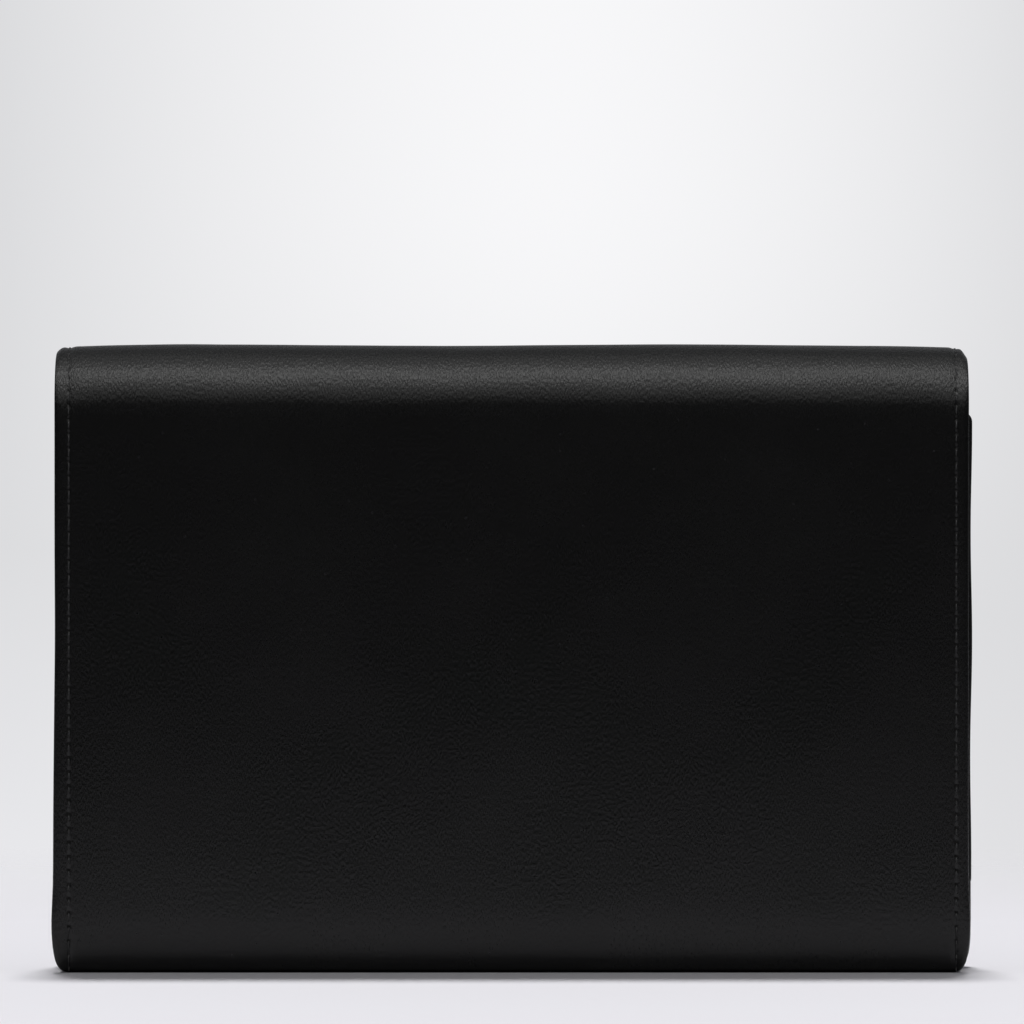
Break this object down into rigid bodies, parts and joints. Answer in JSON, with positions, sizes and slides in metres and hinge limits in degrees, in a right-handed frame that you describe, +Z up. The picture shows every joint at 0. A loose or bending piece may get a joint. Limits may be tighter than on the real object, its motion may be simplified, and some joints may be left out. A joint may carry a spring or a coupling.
{
  "type": "envelope clutch purse",
  "caption": "Slim black satin envelope clutch with a rounded top fold, a long flap over a magnetic snap, folding side gussets and a lined compartment with a slip pocket.",
  "frame": {"origin": "middle of the closed purse's footprint, on the surface it stands on", "axes": "+X along the width, +Z up, -Y is the side the flap hangs on, so +Y faces out of the plain back"},
  "size_m": [0.264, 0.036, 0.179],
  "materials": {
    "satin": "black satin with a soft sheen along one thread direction",
    "lining_cloth": "plain black lining cloth, slightly duller than the satin",
    "fibre_board": "bonded fibre board, matt",
    "interlining": "soft non-woven interlining",
    "snap_plate": "plated and polished",
    "steel": "plain pressed steel",
    "ferrite": "dark sintered magnet"
  },
  "bodies": {
    "body": {"outer_back": "satin", "board_back": "fibre_board", "lining_back": "lining_cloth", "outer_base": "satin", "board_base": "fibre_board", "lining_base": "lining_cloth", "gusset_satin_left_rear": "satin", "gusset_lining_left_rear": "lining_cloth", "gusset_satin_right_rear": "satin", "gusset_lining_right_rear": "lining_cloth", "pocket_hem_left": "lining_cloth", "pocket_hem_right": "lining_cloth", "pocket_hem_foot": "lining_cloth", "pocket_panel": "lining_cloth", "pocket_binding": "satin"},
    "top_fold": {"outer_top_fold": "satin", "interlining_top_fold": "interlining", "lining_top_fold": "lining_cloth"},
    "flap": {"outer_flap": "satin", "board_flap": "fibre_board", "lining_flap": "lining_cloth", "snap_stud": "snap_plate", "snap_stud_washer": "steel"},
    "front": {"outer_front": "satin", "board_front": "fibre_board", "lining_front": "lining_cloth", "gusset_satin_left_front": "satin", "gusset_lining_left_front": "lining_cloth", "gusset_satin_right_front": "satin", "gusset_lining_right_front": "lining_cloth", "snap_socket_cover": "snap_plate", "snap_magnet": "ferrite", "snap_socket_base": "steel", "snap_socket_washer": "steel"}
  },
  "joints": [
    {"name": "flap_rear_fold", "type": "hinge", "parent": "body", "child": "top_fold", "pos_m": [0, 0.01273, 0.17373], "axis": [-1, 0, 0], "range_deg": [0, 90]},
    {"name": "flap_front_fold", "type": "hinge", "parent": "top_fold", "child": "flap", "pos_m": [0, -0.01273, 0.17373], "axis": [-1, 0, 0], "range_deg": [0, 90]},
    {"name": "mouth_open", "type": "hinge", "parent": "body", "child": "front", "pos_m": [0, -0.0061, 0.0004], "axis": [1, 0, 0], "range_deg": [0, 8]}
  ],
  "couplings": [
    {"joint": "flap_front_fold", "follows": "flap_rear_fold", "ratio": 1},
    {"joint": "mouth_open", "follows": "flap_rear_fold", "ratio": 0.088889}
  ]
}
